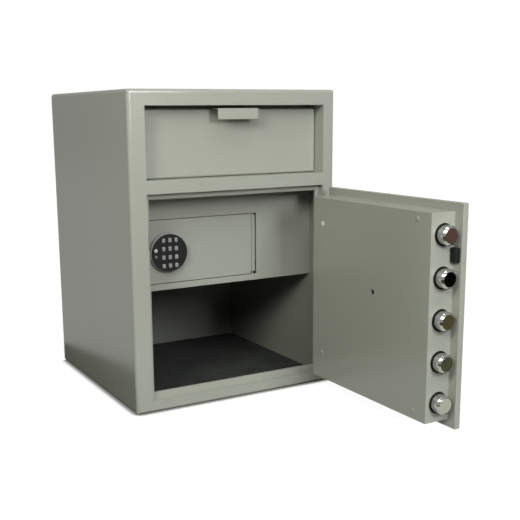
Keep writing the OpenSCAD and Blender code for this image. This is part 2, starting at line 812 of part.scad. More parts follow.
// Inner locker
module locker_shell() {
    color(paint_dark) in_place() difference() {
        slab(wall_t, cabinet_w - wall_t, locker_y + face_t, locker_y1, locker_z, locker_top);
        slab(wall_t - cut, cabinet_w, locker_y, locker_y1 - locker_t,
             locker_z + locker_t, locker_top - locker_t);
    }
}
module locker_face() {
    y1 = locker_y + face_t;
    ear_x0 = roll_x - 6.5;
    color(paint) in_place() difference() {
        union() {
            slab(wall_t, cabinet_w - wall_t, locker_y, y1, locker_z, chute_z(y1) - chute_t);
            for (z = [lk_z0 - ear_t, lk_z1]) slab(ear_x0, lk_x1, y1, ear_y1, z, z + ear_t);
        }
        slab(lk_x0, lk_x1, locker_y - cut, y1 + cut, lk_z0, lk_z1);
        rod_z(locker_pin_r + turn_clear, lk_z0 - ear_t + 1, lk_z1 + ear_t - 1, roll_x, roll_y);
    }
}
module locker_leaf() {
    z0 = lk_z0 + leaf_gap;
    z1 = lk_z1 - leaf_gap;
    y1 = locker_y + leaf_t;
    color(paint) in_place() difference() {
        union() {
            slab(lk_x0 + leaf_gap, strip_x0 - strip_groove, locker_y, y1, z0, z1);
            // Hinge strip, beyond a groove, with the roll behind it
            slab(strip_x0 - strip_groove - 1, strip_x0 + 1, locker_y + strip_groove_d, y1,
                 z0 + roll_foot, z1 - roll_top);
            slab(strip_x0, strip_x1, locker_y, y1, z0 + roll_foot, z1 - roll_top);
            rod_z(roll_r, z0 + roll_foot, z1 - roll_top, roll_x, roll_y);
        }
        for (z = [lk_z0, lk_z1 - locker_pin_l + ear_t])
            rod_z(locker_pin_r, z, z + locker_pin_l - ear_t, roll_x, roll_y);
    }
}
module locker_pins() {
    into_ear = ear_t - 1.5;
    color(steel) in_place() {
        rod_z(locker_pin_r, lk_z0 - into_ear, lk_z0 - ear_t + locker_pin_l, roll_x, roll_y);
        rod_z(locker_pin_r, lk_z1 + ear_t - locker_pin_l, lk_z1 + into_ear, roll_x, roll_y);
    }
}
module locker_lock_case() {
    y = locker_y + leaf_t;
    half = locker_bolt_h / 2 + part_clear;
    color(steel) in_place() difference() {
        slab(case_x0, case_x1, y, y + case_d, kp_z - case_h / 2, kp_z + case_h / 2);
        slab(case_x0 - cut, locker_bolt_x0 + locker_bolt_l + 1,
             y - cut, y + locker_bolt_t + 2 * part_clear, kp_z - half, kp_z + half);
    }
}
module locker_bolt() {
    y = locker_y + leaf_t + part_clear;
    color(steel) in_place()
        slab(locker_bolt_x0, locker_bolt_x0 + locker_bolt_l,
             y, y + locker_bolt_t, kp_z - locker_bolt_h / 2, kp_z + locker_bolt_h / 2);
}

// Keypad lock on the locker door
module keypad_base() {
    color(steel) in_place() rod_y(keypad_r + kp_base_lip, locker_y - kp_base, locker_y, kp_x, kp_z);
}
// The two lights stand beside the keys
module lights(y0, y1) {
    rod_y(3.8, y0, y1, light_x, kp_z + 6.9);
    rod_y(3.1, y0, y1, light_x, kp_z - 6.6);
}
module keypad_housing() {
    half_w = key_w / 2 + key_gap;
    half_h = key_h / 2 + key_gap;
    color(black) in_place() difference() {
        rod_y(keypad_r, kp_y0, locker_y - kp_base, kp_x, kp_z);
        rod_y(keypad_r - kp_side, kp_y0 + kp_wall, locker_y - kp_base + cut, kp_x, kp_z);
        lights(kp_y0 - cut, kp_y0 + kp_wall + cut);
        for (c = [-1 : 1], r = [-1.5 : 1.5])
            let (x = kp_x + c * key_dx, z = kp_z + r * key_dz)
                slab(x - half_w, x + half_w, kp_y0 - cut, kp_y0 + kp_wall + cut, z - half_h, z + half_h);
    }
}
module keypad_lights() {
    color(white) in_place() lights(kp_y0 - 0.6, kp_y0 + kp_wall);
}
// Keys are counted row by row from the upper left
module keypad_key(i) {
    x = kp_x + (i % 3 - 1) * key_dx;
    z = kp_z + (1.5 - floor(i / 3)) * key_dz;
    flange_y = kp_y0 + kp_wall + 0.2;
    half_w = key_w / 2;
    half_h = key_h / 2;
    color(chrome) in_place() union() {
        slab(x - half_w, x + half_w, kp_y0 - key_proud, flange_y + key_flange_t, z - half_h, z + half_h);
        slab(x - half_w - key_flange, x + half_w + key_flange, flange_y, flange_y + key_flange_t,
             z - half_h - key_flange, z + half_h + key_flange);
    }
}

outer_shell();
back_plate();
front_frame();
chute_floor();
deposit_baffle();
drawer_rod();
locker_shell();
locker_face();
floor_mat();
bolt_keeper();
frame_knuckle(1);  // frame_knuckle_upper
frame_knuckle(0);  // frame_knuckle_lower
hinge_pins();
door_plate();
door_box();
back_cover();
cover_screws();
bolt_bushes();
hinge_strap(1);  // hinge_strap_upper
hinge_strap(0);  // hinge_strap_lower
dog_bar();
door_buffer();
dial_ring();
lock_case();
guide_screws();
bolt_carrier();
locking_bolt(4);  // locking_bolt_1
locking_bolt(3);  // locking_bolt_2
locking_bolt(2);  // locking_bolt_3
locking_bolt(1);  // locking_bolt_4
locking_bolt(0);  // locking_bolt_5
drive_pin();
handle_lever();
handle_spindle();
cam_disc();
dial_knob();
dial_spindle();
lock_bolt();
drawer_panel();
drawer_pull();
drawer_scoop();
locker_leaf();
locker_pins();
keypad_base();
keypad_housing();
keypad_lights();
locker_lock_case();
locker_bolt();
keypad_key(0);  // key_1
keypad_key(1);  // key_2
keypad_key(2);  // key_3
keypad_key(3);  // key_4
keypad_key(4);  // key_5
keypad_key(5);  // key_6
keypad_key(6);  // key_7
keypad_key(7);  // key_8
keypad_key(8);  // key_9
keypad_key(9);  // key_star
keypad_key(10);  // key_0
keypad_key(11);  // key_hash
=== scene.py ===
import json
import math

import bmesh
import bpy
import numpy as np
from mathutils import Matrix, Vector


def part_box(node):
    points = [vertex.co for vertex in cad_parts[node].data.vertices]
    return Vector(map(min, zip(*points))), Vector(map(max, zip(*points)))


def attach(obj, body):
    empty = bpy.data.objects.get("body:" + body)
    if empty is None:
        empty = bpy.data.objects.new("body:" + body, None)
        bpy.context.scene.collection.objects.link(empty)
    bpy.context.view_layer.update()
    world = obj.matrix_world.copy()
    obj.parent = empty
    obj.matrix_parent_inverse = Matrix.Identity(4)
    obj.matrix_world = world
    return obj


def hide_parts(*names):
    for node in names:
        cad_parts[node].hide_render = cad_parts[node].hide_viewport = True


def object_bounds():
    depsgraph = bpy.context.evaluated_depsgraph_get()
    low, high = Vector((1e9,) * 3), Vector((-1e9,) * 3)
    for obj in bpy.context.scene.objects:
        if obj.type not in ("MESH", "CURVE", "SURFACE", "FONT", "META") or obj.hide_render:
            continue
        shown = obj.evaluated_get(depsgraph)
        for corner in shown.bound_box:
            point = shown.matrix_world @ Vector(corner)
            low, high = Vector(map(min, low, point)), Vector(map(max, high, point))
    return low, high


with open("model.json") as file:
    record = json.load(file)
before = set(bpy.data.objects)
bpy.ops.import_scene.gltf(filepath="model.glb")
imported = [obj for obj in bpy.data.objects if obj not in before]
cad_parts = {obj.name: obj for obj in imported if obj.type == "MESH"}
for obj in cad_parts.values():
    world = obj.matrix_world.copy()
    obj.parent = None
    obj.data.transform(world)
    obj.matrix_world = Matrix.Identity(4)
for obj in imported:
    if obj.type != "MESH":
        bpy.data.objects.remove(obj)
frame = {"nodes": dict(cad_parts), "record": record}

cad_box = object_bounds()
nodes = frame["nodes"]
record = frame["record"]
body_of = {n: b for b, members in record["behaviour"]["bodies"].items() for n in members}
slot_of = {part["node"]: part["material_slot"] for part in record["subparts"]}

MM = 0.001
X = (1, 0, 0)
Y = (0, 1, 0)
Z = (0, 0, 1)
TO_FRONT = (0, -1, 0)

# Camera, fitted to the corners of the cabinet and of its open door
EYE = (-0.90877, -1.88728, 0.63521)
HEADING = math.radians(29.368)
TILT = math.radians(11.205)
ROLL = math.radians(-0.5)
FOCAL_PX = 857.249  # focal length in pixels of the photo
PHOTO_PX = 520  # width of the photo
SENSOR_MM = 36
SHIFT = (0.0301, 0.044467)
camera = bpy.data.objects.new("camera", bpy.data.cameras.new("camera"))
camera.data.sensor_width = SENSOR_MM
camera.data.lens = FOCAL_PX / PHOTO_PX * SENSOR_MM
camera.data.shift_x, camera.data.shift_y = SHIFT
camera.data.clip_end = 60
camera.matrix_world = (Matrix.Translation(EYE) @ Matrix.Rotation(-HEADING, 4, "Z")
                       @ Matrix.Rotation(math.pi / 2 - TILT, 4, "X") @ Matrix.Rotation(ROLL, 4, "Z"))
bpy.context.collection.objects.link(camera)
bpy.context.scene.camera = camera


# Shader helpers
class Wire:
    """An output socket of a finish. Sums, differences and products of wires add Math nodes."""

    def __init__(self, finish, socket):
        self.finish = finish
        self.socket = socket

    def math(self, operation, *values):
        return self.finish.node("ShaderNodeMath", {"operation": operation}, dict(enumerate(values)))

    def __add__(self, other):
        return self.math("ADD", self, other)

    def __sub__(self, other):
        return self.math("SUBTRACT", self, other)

    def __rsub__(self, other):
        return self.math("SUBTRACT", other, self)

    def __mul__(self, other):
        return self.math("MULTIPLY", self, other)

    __radd__ = __add__
    __rmul__ = __mul__


class Finish:
    """A material under construction."""

    def __init__(self, name, **constants):
        self.material = bpy.data.materials.new(name)
        self.material.use_nodes = True
        self.tree = self.material.node_tree
        self.shader = self.tree.nodes["Principled BSDF"]
        self.set(**constants)

    def node(self, kind, settings=None, sockets=None, out=0):
        """Adds a node. Its settings come first, a ramp's stops among them, then what feeds its sockets."""
        made = self.tree.nodes.new(kind)
        for key, value in (settings or {}).items():
            if key == "stops":
                ramp = made.color_ramp.elements
                while len(ramp) < len(value):
                    ramp.new(1)
                for stop, (position, grey) in zip(ramp, value):
                    stop.position = position
                    stop.color = (grey, grey, grey, 1)
            else:
                setattr(made, key, value)
        for key, value in (sockets or {}).items():
            self.feed(made.inputs[key], value)
        return Wire(self, made.outputs[out])

    def feed(self, socket, value):
        if isinstance(value, Wire):
            self.tree.links.new(value.socket, socket)
        else:
            socket.default_value = value

    def set(self, **sockets):
        """Feeds the surface shader's sockets, named with underscores for spaces."""
        for key, value in sockets.items():
            self.feed(self.shader.inputs[key.replace("_", " ")], value)

    def place(self):
        return self.node("ShaderNodeTexCoord", out="Object")

    def wrap(self):
        """The piece's own map: metres round it and metres along its profile."""
        return self.node("ShaderNodeUVMap", {"uv_map": "wrap"})

    def stretch(self, place, scale):
        return self.node("ShaderNodeVectorMath", {"operation": "MULTIPLY"}, {0: place, 1: scale})

    def noise(self, place, scale, detail=2.0):
        return self.node("ShaderNodeTexNoise", None,
                         {"Vector": place, "Scale": scale, "Detail": detail}, "Fac")

    def ramp(self, value, *stops):
        return self.node("ShaderNodeValToRGB", {"stops": stops}, {0: value})

    def fade(self, value, first, last, start, end):
        """Goes from start to end as the value goes from first to last."""
        return self.node("ShaderNodeMapRange", None, {0: value, 1: first, 2: last, 3: start, 4: end})

    def between(self, share, first, second):
        """A colour that goes from the first to the second as share goes from 0 to 1."""
        return self.node("ShaderNodeMix", {"data_type": "RGBA"}, {0: share, 6: first, 7: second}, 2)

    def bump(self, height, distance, strength):
        return self.node("ShaderNodeBump", None,
                         {"Height": height, "Distance": distance, "Strength": strength})


def tone(red, green, blue, gain=1.0):
    """A colour given as it looks on a screen, 0 to 255, as linear light."""
    screen = np.array((red, green, blue)) / 255
    light = np.where(screen <= 0.04045, screen / 12.92, ((screen + 0.055) / 1.055) ** 2.4)
    return (*(light * gain).tolist(), 1.0)


# Finishes
def satin_paint(name, colour):
    """Sprayed satin paint: a little cloudy, with fine orange peel and here and there a speck of dust."""
    finish = Finish(name, Specular_IOR_Level=0.58)
    place = finish.place()
    cloud = finish.noise(place, 3.1, 3)
    mottle = finish.noise(place, 47, 3)
    peel = finish.noise(place, 620, 1.5)
    speck = finish.ramp(finish.noise(place, 260, 1), (0.70, 0.0), (0.78, 1.0))
    share = 0.25 * mottle + 0.75 * cloud
    finish.set(Base_Color=finish.between(share, tone(*colour, gain=0.94), tone(*colour, gain=1.06)),
               Roughness=0.20 + 0.01 * mottle + 0.03 * cloud,
               Normal=finish.bump(peel * 0.8 + speck * 0.5, 0.00011, 0.55))
    return finish.material


def polished_chrome(name):
    """Chrome over a turned bar: fine rings run round it, and faint smears change how sharply it mirrors."""
    finish = Finish(name, Metallic=1.0)
    rings = finish.noise(finish.stretch(finish.wrap(), (40, 9000, 0)), 1)
    smear = finish.noise(finish.place(), 90, 3)
    finish.set(Base_Color=finish.between(smear, tone(170, 170, 167), tone(188, 188, 185)),
               Roughness=0.04 + 0.07 * smear,
               Normal=finish.bump(rings, 0.000002, 0.6))
    return finish.material


def bright_steel(name):
    """Zinc-plated steel, brushed upwards and slightly clouded."""
    finish = Finish(name, Metallic=1.0)
    place = finish.place()
    grain = finish.noise(finish.stretch(place, (1900, 1900, 60)), 1, 3)
    cloud = finish.noise(place, 55, 3)
    finish.set(Base_Color=finish.between(cloud, tone(166, 165, 160), tone(196, 196, 192)),
               Roughness=0.26 + 0.14 * grain + 0.08 * cloud,
               Normal=finish.bump(grain, 0.00002, 0.5))
    return finish.material


def moulded_plastic(name, colour, rough, grain_size=1500, specular=0.5):
    """Moulded plastic with a fine spark-eroded grain and a slight handling shine."""
    finish = Finish(name, Specular_IOR_Level=specular)
    place = finish.place()
    grain = finish.noise(place, grain_size)
    shine = finish.noise(place, 35, 3)
    finish.set(Base_Color=finish.between(shine, tone(*colour, gain=0.88), tone(*colour, gain=1.12)),
               Roughness=rough - 0.05 + 0.12 * shine,
               Normal=finish.bump(grain, 0.00005, 0.6))
    return finish.material


def carpet(name):
    """Dark needle felt: short fibres lie both ways, with lighter ones among them in patches."""
    finish = Finish(name, Sheen_Weight=0.05, Sheen_Roughness=0.6, Roughness=0.95, Specular_IOR_Level=0.1)
    place = finish.place()
    fibre = finish.noise(finish.stretch(place, (900, 2300, 900)), 1, 3)
    across = finish.noise(finish.stretch(place, (2300, 900, 900)), 1, 3)
    wear = 0.5 * finish.noise(place, 9) + 0.5 * finish.noise(place, 170)
    patch = finish.ramp(wear, (0.38, 0.0), (0.62, 1.0))
    pale = finish.ramp(fibre * across, (0.28, 0.0), (0.40, 1.0)) * (0.35 + patch)
    ground = finish.between(patch, tone(18, 22, 20), tone(40, 44, 41))
    finish.set(Base_Color=finish.between(pale * 0.8, ground, tone(78, 84, 78)),
               Normal=finish.bump(fibre + across, 0.0008, 0.8))
    return finish.material


finishes = {
    "paint": satin_paint("grey green paint", (161, 164, 155)),
    # Paint for the inside, darker than the outside paint: painted shade for the dim inside of the cabinet.
    "dark_paint": satin_paint("inside paint with painted shade", (134, 137, 130)),
    "steel": bright_steel("plated steel"),
    "chrome": polished_chrome("polished chrome"),
    "black_plastic": moulded_plastic("black plastic", (15, 18, 17), 0.48, specular=0.35),
    "silver_plastic": moulded_plastic("silver plastic", (168, 170, 168), 0.34, 2500),
    "key_plastic": moulded_plastic("key plastic", (158, 161, 162), 0.42, 2500),
    "white_plastic": moulded_plastic("lens plastic", (198, 199, 191), 0.22, 2500),
    "mat": carpet("carpet"),
}
rubber = moulded_plastic("rubber", (22, 26, 25), 0.6, 900, 0.2)
# Near black steel for the lock case: painted shade, so that the hole in the cover in front of it looks
# dark.
lock_case_painted_shade = moulded_plastic("near black steel, painted shade", (18, 18, 17), 0.45, 300, 0.4)
dim_lens = moulded_plastic("dim lens", (120, 123, 115), 0.22, 2500)
# Pale matt finish for one screw head: a painted highlight.
painted_highlight_finish = moulded_plastic("pale screw head, painted highlight", (226, 227, 216), 0.4, 900)
ink = moulded_plastic("printed figures", (44, 46, 50), 0.6)
white_ink = moulded_plastic("white figures", (226, 226, 220), 0.5)

# Meshes
MERGE = 2e-7  # points of a surface nearer than this are one
WELD = 0.02 * MM  # points of a CAD node nearer than this are one
FLAT = math.radians(0.3)  # an edge of a CAD node that turns by less than this goes
CORNER = 0.6  # an edge of a CAD node that turns by more than this is rounded


class Shape:
    """Surfaces gathered into one mesh. Points that meet are merged, so seams and poles close."""

    def __init__(self):
        self.points = []
        self.faces = []
        self.wraps = []
        self.paints = []
        self.count = 0

    def add(self, points, faces, wrap=None, paint=0):
        """Takes points and the corners of faces, turned to face outwards by the sign of their volume."""
        a, b, c = (points[faces[:, i]] for i in (0, 1, 2))
        volume = np.sum(a * np.cross(b, c))
        if faces.shape[1] == 4:
            volume += np.sum(a * np.cross(c, points[faces[:, 3]]))
        if volume < 0:
            faces = faces[:, ::-1]
        self.points.append(points)
        self.faces.append(faces + self.count)
        self.wraps.append(np.zeros((len(points), 2)) if wrap is None else wrap)
        self.paints.append(np.full(len(faces), paint))
        self.count += len(points)
        return self

    def grid(self, points, paint=0):
        """Joins each point of a grid with its neighbours in the next row and the next column. The wrap is
        the distance gone along a row and along a column."""
        rows, cols = points.shape[:2]
        index = np.arange(rows * cols).reshape(rows, cols)
        quads = np.stack([index[:-1, :-1], index[:-1, 1:], index[1:, 1:], index[1:, :-1]], -1)
        along = np.linalg.norm(np.diff(points, axis=1, prepend=points[:, :1]), axis=2).cumsum(1)
        down = np.linalg.norm(np.diff(points, axis=0, prepend=points[:1]), axis=2).cumsum(0)
        wrap = np.stack([along, np.broadcast_to(down.mean(1, keepdims=True), (rows, cols))], -1)
        return self.add(points.reshape(-1, 3), quads.reshape(-1, 4), wrap.reshape(-1, 2), paint)

    def mesh(self, name):
        """Merges the points. A quad that loses one side becomes a triangle, one that loses more goes."""
        points = np.concatenate(self.points)
        wraps = np.concatenate(self.wraps)
        kept, merged = np.unique(np.round(points / MERGE).astype(np.int64), axis=0, return_inverse=True)
        merged = merged.reshape(-1)
        places = np.zeros((len(kept), 3))
        places[merged] = points
        corners = []
        loops = []
        paints = []
        for faces, paint in zip(self.faces, self.paints):
            met = merged[faces]
            same = met == np.roll(met, -1, axis=1)
            whole = ~same.any(1)
            corners += met[whole].tolist()
            loops.append(faces[whole].reshape(-1))
            paints.append(paint[whole])
            if faces.shape[1] == 4:
                for side in range(4):
                    narrow = same[:, side] & (same.sum(1) == 1)
                    picked = [k for k in range(4) if k != side]
                    corners += met[narrow][:, picked].tolist()
                    loops.append(faces[narrow][:, picked].reshape(-1))
                    paints.append(paint[narrow])
        mesh = bpy.data.meshes.new(name)
        mesh.from_pydata(places.tolist(), [], corners)
        mesh.polygons.foreach_set("material_index", np.concatenate(paints).astype(np.int32))
        mesh.uv_layers.new(name="wrap").data.foreach_set(
            "uv", wraps[np.concatenate(loops)].reshape(-1).astype(np.float32))
        return mesh


def present(name, mesh, body, slot, *replaced, materials=None, crease=35):
    """Puts a mesh into the scene as a piece of the safe, smooth but for its creases."""
    for material in materials or [finishes[slot]]:
        mesh.materials.append(material)
    mesh.polygons.foreach_set("use_smooth", np.ones(len(mesh.polygons), bool))
    if crease:
        mesh.set_sharp_from_angle(angle=math.radians(crease))
    piece = bpy.data.objects.new(name, mesh)
    bpy.context.collection.objects.link(piece)
    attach(piece, body)
    if replaced:
        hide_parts(*replaced)
    return piece


def rounded(node, width, share=None, segments=2, materials=None, paint=None):
    """A copy of a CAD node with its doubles merged, its flat faces joined and its edges rounded. share
    gives an edge's part of the width from its middle point, and 0 leaves it sharp. paint gives a face's
    material from its middle point."""
    work = bmesh.new()
    work.from_mesh(nodes[node].data)
    bmesh.ops.remove_doubles(work, verts=work.verts, dist=WELD)
    bmesh.ops.dissolve_limit(work, angle_limit=FLAT, verts=work.verts, edges=work.edges)
    weight = work.edges.layers.float.new("bevel_weight_edge")
    for edge in work.edges:
        if edge.calc_face_angle(0) > CORNER:
            middle = (edge.verts[0].co + edge.verts[1].co) / 2
            edge[weight] = 1.0 if share is None else share(*middle)
            edge.smooth = edge[weight] > 0
    if paint:
        for face in work.faces:
            face.material_index = paint(*face.calc_center_median())
    name = node + "_rounded"
    mesh = bpy.data.meshes.new(name)
    work.to_mesh(mesh)
    work.free()
    for kept in ("custom_normal", "sharp_face"):
        if kept in mesh.attributes:
            mesh.attributes.remove(mesh.attributes[kept])
    piece = present(name, mesh, body_of[node], slot_of[node], node, materials=materials, crease=0)
    bevel = piece.modifiers.new("edges", "BEVEL")
    bevel.limit_method = "WEIGHT"
    bevel.width = width
    bevel.segments = segments
    bevel.harden_normals = False
    normals = piece.modifiers.new("shading", "WEIGHTED_NORMAL")
    normals.keep_sharp = True


def eased(corners, radius, steps=3):
    """A polyline with each inner corner replaced by an arc that touches both of its sides. The arc takes
    less than half of a side, and a corner that hardly turns stays."""
    most = 0.48
    nearly_straight = 1.5
    corners = np.array(corners, float)
    out = [corners[:1]]
    for before, corner, after in zip(corners[:-2], corners[1:-1], corners[2:]):
        u = before - corner
        v = after - corner
        reach_u = np.linalg.norm(u)
        reach_v = np.linalg.norm(v)
        u = u / reach_u
        v = v / reach_v
        half = math.acos(np.clip(u @ v, -1, 1)) / 2
        if half > nearly_straight:
            out.append(corner[None])
            continue
        length = min(radius / math.tan(half), most * reach_u, most * reach_v)
        centre = corner + (u + v) / np.linalg.norm(u + v) * length / math.cos(half)
        start = corner + u * length - centre
        end = corner + v * length - centre
        k = np.linspace(0, 1, steps + 1)[:, None]
        swing = math.pi - 2 * half
        out.append(centre + (np.sin((1 - k) * swing) * start + np.sin(k * swing) * end) / math.sin(swing))
    out.append(corners[-1:])
    return np.concatenate(out)


def basis(axis):
    """Three square directions, the first along the axis."""
    a = np.array(axis, float)
    b = np.array(Z if abs(a[2]) < 0.9 else X, float)
    b = b - a * (a @ b)
    b /= np.linalg.norm(b)
    return a, b, np.cross(a, b)


def turned(profile, centre, axis, steps=72, flute=None):
    """A profile of (distance along the axis, radius) carried round the axis: the point at angle t is the
    centre, plus the distance along the axis, plus the radius times (b cos t + c sin t)."""
    a, b, c = basis(axis)
    t = np.linspace(0, 2 * math.pi, steps + 1)
    t[-1] = 0
    height, radius = np.array(profile, float).T
    radius = radius[:, None] * (np.ones_like(t) if flute is None else flute(height[:, None], t[None]))
    ring = np.cos(t)[:, None] * b + np.sin(t)[:, None] * c
    return np.array(centre) + height[:, None, None] * a + radius[..., None] * ring[None]


def round_rect(width, height, radii, steps=4):
    """The closed outline of a rectangle with round corners, anticlockwise from the upper right one."""
    t = np.linspace(0, math.pi / 2, steps + 1)
    arc = np.stack([np.cos(t), np.sin(t)], 1)
    out = []
    for k, (sx, sy) in enumerate(((1, 1), (-1, 1), (-1, -1), (1, -1))):
        turn = k * math.pi / 2
        spin = np.array([[math.cos(turn), math.sin(turn)], [-math.sin(turn), math.cos(turn)]])
        r = radii[k]
        out.append(r * arc @ spin + (sx * (width / 2 - r), sy * (height / 2 - r)))
    out = np.concatenate(out)
    return np.concatenate([out, out[:1]])


def lofted(outlines, centres, a, b):
    """Outlines laid one after another: the point (x, y) of an outline is its centre plus x along a and y
    along b. Each end is closed at its centre."""
    outlines = np.array(outlines)
    centres = np.array(centres)
    rows = centres[:, None] + outlines[..., :1] * np.array(a) + outlines[..., 1:] * np.array(b)
    ends = [np.broadcast_to(centres[k], rows[0].shape)[None] for k in (0, -1)]
    return np.concatenate([ends[0], rows, ends[1]])


def typed(shape, text, size, depth, centre, right, up):
    """Plain figures as flat type with a thickness, in the second material, read along right."""
    curve = bpy.data.curves.new("type", "FONT")
    curve.body = text
    curve.size = size
    curve.extrude = depth
    curve.align_x = "CENTER"
    curve.align_y = "CENTER"
    curve.resolution_u = 3
    holder = bpy.data.objects.new("type", curve)
    bpy.context.collection.objects.link(holder)
    flat = bpy.data.meshes.new_from_object(holder.evaluated_get(bpy.context.evaluated_depsgraph_get()))
    flat.calc_loop_triangles()
    points = np.zeros(len(flat.vertices) * 3)
    flat.vertices.foreach_get("co", points)
    corners = np.zeros(len(flat.loop_triangles) * 3, np.int32)
    flat.loop_triangles.foreach_get("vertices", corners)
    points = points.reshape(-1, 3)
    points[:, :2] -= (points[:, :2].min(0) + points[:, :2].max(0)) / 2
    right = np.array(right, float)
    up = np.array(up, float)
    axes = np.stack([right, up, np.cross(right, up)])
    shape.add(points @ axes + np.array(centre), corners.reshape(-1, 3), paint=1)
    bpy.data.objects.remove(holder)
    bpy.data.curves.remove(curve)
    bpy.data.meshes.remove(flat)


def corners_of(node):
    """The node's lowest and highest corners, as arrays."""
    return (np.array(corner, float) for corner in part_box(node))


def half_size(low, high, axis):
    """Half the distance between two corners along an axis, such as the radius of a round node."""
    return (high[axis] - low[axis]) / 2


# Plates, bars and small hardware: the CAD's own shapes with rounded edges
SKIN = 1.5 * MM  # a face nearer than this to the cabinet's outside is an outer face
IN_PLANE = 0.1 * MM
shell_low, shell_high = corners_of("outer_shell")
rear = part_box("back_plate")[1][1]


def off_seam(x, y, z):
    """Edges in the plane where the front frame meets the shell stay sharp, so no groove shows there."""
    return 0.0 if abs(y - shell_low[1]) < IN_PLANE else 1.0


def faces_inwards(x, y, z):
    """1 for a face that looks into the cabinet, which takes the darker paint: painted shade for the dim
    inside.
    """
    return int(shell_low[0] + SKIN < x < shell_high[0] - SKIN and y < rear - SKIN
               and shell_low[2] + SKIN < z < shell_high[2] - SKIN)


# The second paint is darker: painted shade on the faces that look into the cabinet.
paint_and_painted_shade = [finishes["paint"], finishes["dark_paint"]]
rounded("outer_shell", 0.8 * MM, off_seam, materials=paint_and_painted_shade, paint=faces_inwards)
rounded("back_plate", 0.8 * MM, materials=paint_and_painted_shade, paint=faces_inwards)
rounded("front_frame", 1.1 * MM, off_seam)
for node, width in (("chute_floor", 0.8), ("deposit_baffle", 0.6), ("locker_shell", 0.6),
                    ("locker_face", 1.4), ("bolt_keeper", 0.8), ("frame_knuckle_upper", 0.6),
                    ("frame_knuckle_lower", 0.6), ("hinge_pins", 0.5), ("drawer_rod", 0.4),
                    ("door_plate", 1.2), ("door_box", 0.8), ("back_cover", 1.1), ("hinge_strap_upper", 0.8),
                    ("hinge_strap_lower", 0.8), ("dog_bar", 1.0), ("guide_screws", 0.4),
                    ("bolt_carrier", 0.8), ("drive_pin", 0.4), ("handle_spindle", 0.4),
                    ("drawer_panel", 0.6), ("drawer_pull", 0.8), ("drawer_scoop", 0.4),
                    ("locker_leaf", 0.7), ("locker_lock_case", 1.0), ("locker_bolt", 0.8),
                    ("lock_bolt", 0.8), ("cam_disc", 0.6)):
    rounded(node, width * MM)
rounded("door_buffer", 1.2 * MM, materials=[rubber])
# Painted shade: the lock case is near black, so the hole in the cover shows it dark.
rounded("lock_case", 1.0 * MM, materials=[lock_case_painted_shade])


# Carpet mat
def carpet_mat():
    """A grid whose top dips by a random pile, averaged over four neighbours, and by a slow wave,
    1 + sin(31x + 17y) sin(23y - 9x). Its outer row drops to the underside, which a flat grid closes."""
    low, high = corners_of("floor_mat")
    x, y = np.meshgrid(np.linspace(low[0], high[0], 230), np.linspace(low[1], high[1], 200))
    pile = np.random.default_rng(7).random(x.shape)
    pile = (pile + np.roll(pile, 1, 0) + np.roll(pile, 1, 1) + np.roll(pile, (1, 1), (0, 1))) / 4
    wave = 1 + np.sin(31 * x + 17 * y) * np.sin(23 * y - 9 * x)
    top = high[2] - 1.1 * MM * pile - 0.3 * MM * wave
    base = np.full(x.shape, low[2])
    edge = np.zeros(x.shape, bool)
    edge[[0, -1]] = True
    edge[:, [0, -1]] = True
    mat = Shape()
    mat.grid(np.stack([x, y, np.where(edge, base, top)], -1))
    mat.grid(np.stack([x, y, base], -1)[::-1])
    present("carpet_mat", mat.mesh("carpet_mat"), "cabinet", "mat", "floor_mat", crease=0)


carpet_mat()


# Locking bolts
def bolt_bar(node, name, low, high):
    """A turned bar: a flat end, a chamfer, the full radius, and a thinner shank behind."""
    centre = (low + high) / 2
    radius = half_size(low, high, 0)
    length = high[1] - low[1]
    chamfer = 4 * MM
    rim = 1.2 * MM
    shank = 12 * MM
    shank_radius = 6 * MM
    nose = eased([(0, radius - chamfer - rim), (0, radius - chamfer), (chamfer, radius),
                  (length / 3, radius)], 0.8 * MM, 4)
    tail = eased([(length / 2, radius), (length - shank, radius), (length - shank, shank_radius),
                  (length, shank_radius), (length, 0)], 0.35 * MM)
    profile = np.concatenate([[(0, 0)], nose, tail])
    bar = Shape().grid(turned(profile, (centre[0], low[1], centre[2]), Y, 96))
    present(name, bar.mesh(name), "boltwork", "chrome", node)


def bush_section(bore):
    """Half the section of a bush: a lip with rounded corners on a thinner sleeve, round the bore."""
    low, high = corners_of("bolt_bushes")
    outer = half_size(low, high, 0)
    deep = high[1] - low[1]
    lip = 1.5 * MM
    sleeve = outer - 1.4 * MM
    return eased([(deep / 2, bore), (0.5 * MM, bore), (0, bore + 0.5 * MM), (0, outer - 0.7 * MM),
                  (0.7 * MM, outer), (lip, outer), (lip, sleeve), (deep, sleeve), (deep, bore),
                  (deep / 2, bore)], 0.4 * MM)


def locking_bolts():
    """Five bars, and the black bushes that they slide in."""
    bushes = Shape()
    bush_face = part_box("bolt_bushes")[0][1]
    slide_clear = 0.15 * MM
    for number in range(1, 6):
        node = "locking_bolt_%d" % number
        low, high = corners_of(node)
        bolt_bar(node, "bolt_bar_%d" % number, low, high)
        centre = (low + high) / 2
        section = bush_section(half_size(low, high, 0) + slide_clear)
        bushes.grid(turned(section, (centre[0], bush_face, centre[2]), Y))
    present("bush_rings", bushes.mesh("bush_rings"), "main_door", "black_plastic", "bolt_bushes",
            materials=[rubber])


locking_bolts()


# Cover screws
def screw_heads():
    """The points of each head of the CAD's screws, from the lowest screw to the highest."""
    solid = nodes["cover_screws"].data
    points = np.zeros(len(solid.vertices) * 3)
    solid.vertices.foreach_get("co", points)
    points = points.reshape(-1, 3)
    heads = points[points[:, 0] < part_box("cover_screws")[0][0] + 0.5 * MM]
    heads = heads[np.argsort(heads[:, 2])]
    least_gap = 15 * MM
    return np.split(heads, np.nonzero(np.diff(heads[:, 2]) > least_gap)[0] + 1)


